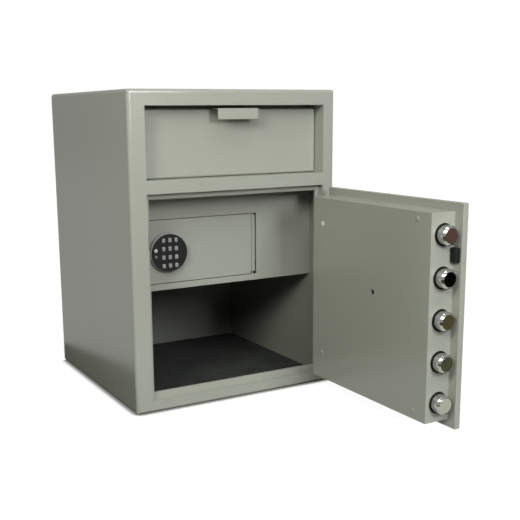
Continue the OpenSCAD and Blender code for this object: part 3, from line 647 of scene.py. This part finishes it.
def cover_screws():
    """Each head is a shallow dome, crown (1 - r^2) high, with a slot cut straight across it to one depth.
    The upper screw on the hinge side is pale and matt, a painted highlight, and the others have the door's
    paint."""
    low, high = corners_of("cover_screws")
    heads = screw_heads()
    hinge_side = max(head[:, 1].max() for head in heads) - 20 * MM
    above_low_pair = heads[1][:, 2].mean()
    foot = low[0] + 2 * MM
    tip = high[0] - foot
    shank_radius = 3 * MM
    half_slot = 0.11
    beside = 12
    within = 4
    v = np.concatenate([np.linspace(-1, -half_slot, beside), np.linspace(-half_slot, half_slot, within),
                        np.linspace(half_slot, 1, beside)])
    in_slot = (np.arange(len(v)) >= beside) & (np.arange(len(v)) < beside + within)
    chord = np.sqrt(1 - v ** 2)[:, None] * np.linspace(-1, 1, 21)
    across = np.broadcast_to(v[:, None], chord.shape)
    crown = 0.9 * MM * (1 - chord ** 2 - across ** 2)
    lift = np.where(in_slot[:, None], np.minimum(crown, 0.2 * MM), crown) + 0.7 * MM
    screws = Shape()
    for head, turn in zip(heads, (0.3, 1.2, -0.5, 0.8)):
        centre = (head.min(0) + head.max(0)) / 2
        radius = (head[:, 2].max() - head[:, 2].min()) / 2
        painted_highlight_screw = head[:, 1].max() > hinge_side and centre[2] > above_low_pair
        paint = 0 if painted_highlight_screw else 1
        side = radius * (chord * math.cos(turn) - across * math.sin(turn))
        rise = radius * (chord * math.sin(turn) + across * math.cos(turn))
        top = np.stack([foot - lift, centre[1] + side, centre[2] + rise], -1)
        screws.grid(top, paint)
        rim = np.concatenate([top[:, -1], top[::-1, 0]])
        base = rim * (0, 1, 1) + (foot, 0, 0)
        hub = np.broadcast_to(np.array((foot, centre[1], centre[2])), base.shape)
        screws.grid(np.stack([rim, base, hub]), paint)
        shank = [(0, 0), (0, shank_radius), (tip, shank_radius), (tip, 0)]
        screws.grid(turned(shank, (foot, centre[1], centre[2]), X, 24))
    present("cover_screw_heads", screws.mesh("cover_screw_heads"), "main_door", "steel", "cover_screws",
            materials=[painted_highlight_finish, finishes["paint"]])


cover_screws()

# Keypad
pad_low, pad_high = corners_of("keypad_housing")
pad_centre = (pad_low + pad_high) / 2
pad_radius = half_size(pad_low, pad_high, 0)
pad_front = pad_low[1]


def pad_edges(x, y, z):
    """The rim of the housing is rounded widely, and the key openings only a little."""
    from_centre = math.hypot(x - pad_centre[0], z - pad_centre[2])
    return 1.0 if from_centre > pad_radius - 0.5 * MM and y < pad_front + MM else 0.16


rounded("keypad_housing", 1.6 * MM, pad_edges, 4)


def keypad_base():
    """Rings turned on the wall: a dark foot, a silver collar, a dark groove and a silver step."""
    low, high = corners_of("keypad_base")
    rim = half_size(low, high, 0)
    deep = high[1] - pad_high[1]
    place = (pad_centre[0], high[1], pad_centre[2])
    foot = eased([(0, 0), (0, rim), (0.8 * MM, rim), (0.8 * MM, rim - 0.9 * MM), (1.2 * MM, rim - 0.9 * MM),
                  (1.2 * MM, 0)], 0.3 * MM)
    collar = eased([(1.1 * MM, 0), (1.1 * MM, rim - 0.6 * MM), (1.7 * MM, rim), (3.7 * MM, rim),
                    (4.1 * MM, rim - 0.6 * MM)], 0.3 * MM)
    groove = [(4.1 * MM, rim - 0.6 * MM), (4.1 * MM, rim - 1.5 * MM), (5.7 * MM, rim - 1.5 * MM),
              (5.7 * MM, rim - 0.5 * MM)]
    step = eased([(5.7 * MM, rim - 0.5 * MM), (deep - 1.0 * MM, rim - 0.5 * MM), (deep, rim - 1.3 * MM),
                  (deep, 0)], 0.6 * MM, 4)
    trim = Shape()
    for part, paint in ((foot, 0), (collar, 1), (groove, 0), (step, 1)):
        trim.grid(turned(part, place, TO_FRONT, 96), paint)
    present("keypad_trim", trim.mesh("keypad_trim"), "locker_door", "silver_plastic", "keypad_base",
            materials=[rubber, finishes["silver_plastic"]])


def keypad_bead():
    """A low ring that stands on the housing's front, near its rim."""
    radius = pad_radius - 2.6 * MM
    half = 0.5 * MM
    foot = -0.3 * MM
    crest = 0.35 * MM
    bead = eased([(foot, radius - half), (crest, radius - half), (crest, radius + half),
                  (foot, radius + half), (foot, radius - half)], 0.3 * MM)
    ring = Shape().grid(turned(bead, (pad_centre[0], pad_front, pad_centre[2]), TO_FRONT, 96))
    present("keypad_ring", ring.mesh("keypad_ring"), "locker_door", "black_plastic")


def keypad_lights():
    """Two turned lenses: a barrel through the housing, and a low dome a little wider than its hole."""
    low, high = corners_of("keypad_lights")
    x = (low[0] + high[0]) / 2
    through = high[1] - pad_front
    lights = Shape()
    for hole, lens, z, paint in ((3.8 * MM, 4.1 * MM, high[2] - 3.8 * MM, 0),
                                 (3.1 * MM, 3.3 * MM, low[2] + 3.1 * MM, 1)):
        dome = eased([(through, lens), (through + 0.5 * MM, lens), (through + 1.1 * MM, lens * 0.55),
                      (through + 1.2 * MM, 0)], 0.5 * MM, 5)
        profile = np.concatenate([[(0, 0), (0, hole), (through, hole)], dome])
        lights.grid(turned(profile, (x, high[1], z), TO_FRONT, 40), paint)
    present("light_lenses", lights.mesh("light_lenses"), "locker_door", "white_plastic", "keypad_lights",
            materials=[finishes["white_plastic"], dim_lens])


def key_cap(node, label, wide_corner):
    """Round-cornered outlines laid from the foot to the front. Over the last 0.9 mm they draw in by
    0.9 mm (1 - cos s) while they rise by 0.9 mm sin s. wide_corner has the larger radius."""
    low, high = corners_of(node)
    centre = (low + high) / 2
    foot_lip = 2.6 * MM
    soft = 0.9 * MM
    width = high[0] - low[0] - foot_lip
    height = high[2] - low[2] - foot_lip
    radii = [(4.2 if k == wide_corner else 2.1) * MM for k in range(4)]
    s = np.linspace(0, math.pi / 2, 5)
    depths = [high[1], *(low[1] + soft * (1 - np.sin(s)))]
    insets = [0, *(soft * (1 - np.cos(s)))]
    outlines = [round_rect(width - 2 * inset, height - 2 * inset, [r - 0.7 * inset for r in radii])
                for inset in insets]
    cap = Shape().grid(lofted(outlines, [(centre[0], depth, centre[2]) for depth in depths], X, Z))
    typed(cap, label, 5.4 * MM, 0.05 * MM, (centre[0], low[1] - 0.02 * MM, centre[2]), X, Z)
    present(node + "_cap", cap.mesh(node + "_cap"), node, "key_plastic", node,
            materials=[finishes["key_plastic"], ink])


keypad_base()
keypad_bead()
keypad_lights()
pad_nodes = ["key_%d" % n for n in range(1, 10)] + ["key_star", "key_0", "key_hash"]
pad_labels = [str(n) for n in range(1, 10)] + ["*", "0", "#"]
wide_corners = {0: 1, 2: 0, 9: 2, 11: 3}
for number, (node, label) in enumerate(zip(pad_nodes, pad_labels)):
    key_cap(node, label, wide_corners.get(number))


# Outside lever
def lever_arm():
    """A turned hub, and an arm lofted down from it. The section is an oval, cos and sin to the power 0.75.
    Its half width and half thickness follow the way s down the arm and round off to nothing at its end."""
    low, high = corners_of("handle_lever")
    hub_radius = 17 * MM
    knob_radius = 13 * MM
    arm_half_width = 9 * MM
    arm_half_thick = 6.2 * MM
    y = (low[1] + high[1]) / 2
    z = high[2] - hub_radius
    out = high[0] - low[0]
    hub = eased([(0, 0), (0, hub_radius), (3 * MM, hub_radius), (8 * MM, knob_radius + 0.5 * MM),
                 (out - 15 * MM, knob_radius - 0.5 * MM), (out - 12 * MM, knob_radius),
                 (out - 1.5 * MM, knob_radius), (out, knob_radius - 4 * MM), (out, 0)], 2.2 * MM, 5)
    lever = Shape().grid(turned(hub, (low[0], y, z), X))
    s = np.linspace(0, 1, 40)
    half_width = arm_half_width * (0.86 - 0.14 * np.cos(math.pi * s))
    half_width *= np.sqrt(1 - ((s - 0.9) / 0.1).clip(0, 1) ** 2)
    half_thick = arm_half_thick * (1 - 0.25 * s) * np.sqrt(1 - ((s - 0.93) / 0.07).clip(0, 1) ** 2)
    t = np.linspace(0, 2 * math.pi, 41)
    t[-1] = 0
    oval = np.stack([np.cos(t), np.sin(t)], -1)
    oval = np.sign(oval) * np.abs(oval) ** 0.75
    sections = np.stack([half_thick, half_width], -1)[:, None] * oval
    bow = 1.0 * MM * np.sin(math.pi * s)
    spine = np.stack([high[0] - 7 * MM - bow, np.full_like(s, y), z - (z - low[2]) * s], -1)
    lever.grid(lofted(sections, spine, X, Y))
    present("lever_arm", lever.mesh("lever_arm"), "door_handle", "chrome", "handle_lever")


lever_arm()

# Dial
dial_low, dial_high = corners_of("dial_knob")
_, dial_y, dial_z = (dial_low + dial_high) / 2
dial_radius = half_size(dial_low, dial_high, 1)
disc_proud = 4 * MM
dial_face_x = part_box("dial_ring")[1][0] + disc_proud


def on_dial(x, angle, distance):
    """The point at a distance from the dial's axis, with the angle from straight up."""
    return np.array((x, dial_y + distance * math.sin(angle), dial_z + distance * math.cos(angle)))


def flutes(height, t):
    """Eighteen hollows round the grip: the radius shrinks by depth times cos 9t to the sixth power, and the
    depth fades out towards the foot."""
    depth = np.clip((height - 3 * MM) / (2 * MM), 0, 1) * 0.075
    return 1 - depth * np.abs(np.cos(9 * t)) ** 6


def dial_knob():
    """A flat disc and a fluted grip, both turned, with a hundred graduations and a number at each tenth."""
    disc = dial_face_x - dial_low[0]
    tall = dial_high[0] - dial_face_x
    grip_radius = 19 * MM
    knob = eased([(0, 0), (0, dial_radius), (disc - 1.2 * MM, dial_radius), (disc, dial_radius - 1.6 * MM),
                  (disc, 0)], 0.5 * MM)
    dial = Shape().grid(turned(knob, (dial_low[0], dial_y, dial_z), X, 120))
    climb = np.linspace(0, 1, 12)[:, None]
    nose = eased([(tall - 1.8 * MM, grip_radius - 0.9 * MM), (tall, grip_radius - 2.8 * MM), (tall, 0)],
                 0.8 * MM, 4)
    grip = np.concatenate([[(0, 0)], climb * (tall - 2 * MM, -0.8 * MM) + (0, grip_radius), nose])
    dial.grid(turned(grip, (dial_face_x - 0.1 * MM, dial_y, dial_z), X, 288, flutes))
    lift = 0.08 * MM
    for mark in range(100):
        angle = 2 * math.pi * mark / 100
        outward = (0, math.sin(angle), math.cos(angle))
        side = (0, math.cos(angle), -math.sin(angle))
        long = (3.4 if mark % 10 == 0 else 2.6 if mark % 5 == 0 else 1.7) * MM
        line = round_rect(0.34 * MM, long, [0.1 * MM] * 4, 1)
        middle = dial_radius - 2.2 * MM - long / 2
        ends = [on_dial(dial_face_x + way * lift, angle, middle) for way in (-1, 1)]
        dial.grid(lofted([line, line], ends, side, outward), 1)
        if mark % 10 == 0:
            typed(dial, str(mark), 4.6 * MM, lift, on_dial(dial_face_x, angle, dial_radius - 8.2 * MM),
                  side, outward)
    present("dial_face", dial.mesh("dial_face"), "dial", "black_plastic", "dial_knob",
            materials=[finishes["black_plastic"], white_ink])


def dial_ring():
    """A turned collar with a wide outer chamfer, and a small index triangle over the dial."""
    low, high = corners_of("dial_ring")
    wide = half_size(low, high, 1)
    deep = high[0] - low[0]
    bore = dial_radius + 1 * MM
    collar = eased([(deep / 2, bore), (deep - 0.6 * MM, bore), (deep, bore + 0.8 * MM),
                    (deep, wide - 4.5 * MM), (deep - 4 * MM, wide), (0, wide), (0, bore),
                    (deep / 2, bore)], 0.6 * MM, 4)
    ring = Shape().grid(turned(collar, (low[0], dial_y, dial_z), X, 120))
    index = np.array([(0, -1.6 * MM), (1.5 * MM, 1.6 * MM), (-1.5 * MM, 1.6 * MM), (0, -1.6 * MM)])
    lift = 0.1 * MM
    ends = [on_dial(high[0] + way * lift, 0, wide - 6.2 * MM) for way in (-1, 1)]
    ring.grid(lofted([index, index], ends, Y, Z), 1)
    present("dial_collar", ring.mesh("dial_collar"), "main_door", "steel", "dial_ring",
            materials=[finishes["steel"], ink])


dial_knob()
dial_ring()

# The CAD's own solids that still show take their slot's finish
for name, node in nodes.items():
    node.data.materials.clear()
    node.data.materials.append(finishes[slot_of[name]])


# Stage
def any_ray(finish, *kinds):
    """1 where a ray is of one of the kinds, else 0."""
    rays = finish.tree.nodes.new("ShaderNodeLightPath")
    found = Wire(finish, rays.outputs[kinds[0]])
    for kind in kinds[1:]:
        found = found.math("MAXIMUM", found, Wire(finish, rays.outputs[kind]))
    return found


def sheet(name, points, faces, material):
    """A flat piece of the stage."""
    mesh = bpy.data.meshes.new(name)
    mesh.from_pydata(points, [], faces)
    mesh.materials.append(material)
    made = bpy.data.objects.new(name, mesh)
    bpy.context.collection.objects.link(made)
    return made


def floor():
    """White to the camera and in glass, light grey in gloss, and a little grey close to the safe. A painted
    shadow from ambient occlusion darkens it in the narrow gap where floor and safe meet. As a surface it is
    grey, so that it takes a soft shadow."""
    finish = Finish("floor", Roughness=0.9, Specular_IOR_Level=0.1, Base_Color=tone(120, 120, 119))
    seen = any_ray(finish, "Is Camera Ray", "Is Glossy Ray", "Is Transmission Ray")
    away = finish.node("ShaderNodeVectorMath", {"operation": "LENGTH"}, {0: finish.place()}, "Value")
    glow = finish.fade(away, 0.5, 1.1, 0.95, 1.0)
    # Painted shadow: ambient occlusion darkens the floor's glow at the safe's foot.
    open_sky = finish.node("ShaderNodeAmbientOcclusion", {"samples": 8}, {"Distance": 18 * MM}, "AO")
    painted_contact_shadow = finish.fade(open_sky, 0.5, 0.9, 0.15, 1.0)
    white = seen * glow * painted_contact_shadow - 0.35 * any_ray(finish, "Is Glossy Ray")
    finish.set(Emission_Color=white, Emission_Strength=1.0)
    far = 9.0
    corners = [(-far, -far, 0), (far, -far, 0), (far, far, 0), (-far, far, 0)]
    sheet("floor", corners, [(0, 1, 2, 3)], finish.material)


def glowing(name, **sockets):
    """A finish that shows its emission alone."""
    return Finish(name, Specular_IOR_Level=0.0, Base_Color=(0, 0, 0, 1), Emission_Strength=1.0, **sockets)


def only_in_gloss(card):
    """Hides a card from the camera and from the light."""
    card.visible_camera = False
    card.visible_diffuse = False
    card.visible_shadow = False
    card.visible_transmission = False


def dark_room():
    """A painted reflection: a glowing sheet on the floor and up a wall, seen only in gloss, whose bands the
    bolts' end faces mirror as their colours. Its colour fades through five bands, each over a stretch of y."""
    finish = glowing("gloss reflection bands")
    along = finish.node("ShaderNodeSeparateXYZ", None, {0: finish.place()}, "Y")
    shade = tone(236, 242, 220)
    for near, far, colour in ((-0.92, -1.00, tone(100, 104, 78)), (-1.20, -1.32, tone(106, 100, 70)),
                              (-1.62, -1.74, tone(8, 10, 6)), (-2.42, -2.58, tone(120, 94, 85))):
        shade = finish.between(finish.fade(along, near, far, 0.0, 1.0), shade, colour)
    finish.set(Emission_Color=shade)
    left, right = -2.5, 4.5
    near, far = -0.79, -4.5
    low, high = 4 * MM, 2.2
    corners = [(left, far, low), (right, far, low), (right, near, low), (left, near, low),
               (left, far, high), (right, far, high)]
    only_in_gloss(sheet("dark_room", corners, [(0, 1, 2, 3), (0, 4, 5, 1)], finish.material))


def dim_strip():
    """Painted shadow in reflection: a dark strip on the floor along the foot of the left side, seen only in
    gloss, which darkens the side's lower part.
    """
    finish = glowing("painted shadow strip", Emission_Color=tone(8, 8, 6))
    low = 2 * MM
    foot = cad_box[0][0] + 0.5 * MM
    corners = [(foot, -0.30, low), (-0.41, -0.30, low), (-0.39, 0.01, low), (-0.31, 0.40, low),
               (foot, 0.45, low)]
    only_in_gloss(sheet("dim_strip", corners, [(0, 1, 2, 3, 4)], finish.material))


def studio():
    """The world is white to the camera, light grey in gloss and no light by itself."""
    world = bpy.data.worlds.new("studio")
    bpy.context.scene.world = world
    world.use_nodes = True
    sky = world.node_tree
    rays = sky.nodes.new("ShaderNodeLightPath")
    gloss, diffuse = (sky.nodes.new("ShaderNodeMapRange") for _ in range(2))
    for step, kind, level in ((gloss, "Is Glossy Ray", 0.55), (diffuse, "Is Diffuse Ray", 0.0)):
        sky.links.new(rays.outputs[kind], step.inputs[0])
        step.inputs[4].default_value = level
    gloss.inputs[3].default_value = 1.0
    sky.links.new(gloss.outputs[0], diffuse.inputs[3])
    background = sky.nodes["Background"]
    background.inputs["Color"].default_value = (1, 1, 1, 1)
    sky.links.new(diffuse.outputs[0], background.inputs["Strength"])


LAMPS_AIM = np.array((0.0, -0.25, 0.35))


def softbox(name, place, size, power, colour=(1, 1, 1)):
    """A square lamp at a place, turned towards the safe."""
    lamp = bpy.data.lights.new(name, "AREA")
    lamp.color = colour
    lamp.size = size
    lamp.energy = power
    holder = bpy.data.objects.new(name, lamp)
    aim = LAMPS_AIM - place
    turn = math.atan2(aim[1], aim[0]) - math.pi / 2
    tip = math.atan2(aim[2], math.hypot(aim[0], aim[1])) + math.pi / 2
    holder.matrix_world = (Matrix.Translation(place) @ Matrix.Rotation(turn, 4, "Z")
                           @ Matrix.Rotation(tip, 4, "X"))
    bpy.context.collection.objects.link(holder)


floor()
dark_room()
dim_strip()
studio()
softbox("key lamp", (0.28, -2.43, 1.14), 0.55, 23.5)
softbox("left front lamp", (-0.93, -2.24, 1.70), 0.8, 16)
softbox("left lamp", (-2.00, -1.75, 1.70), 0.8, 34, (1, 1, 0.86))
softbox("top lamp", (0.0, -1.45, 2.60), 1.0, 18)

bpy.context.scene.view_settings.view_transform = "Standard"
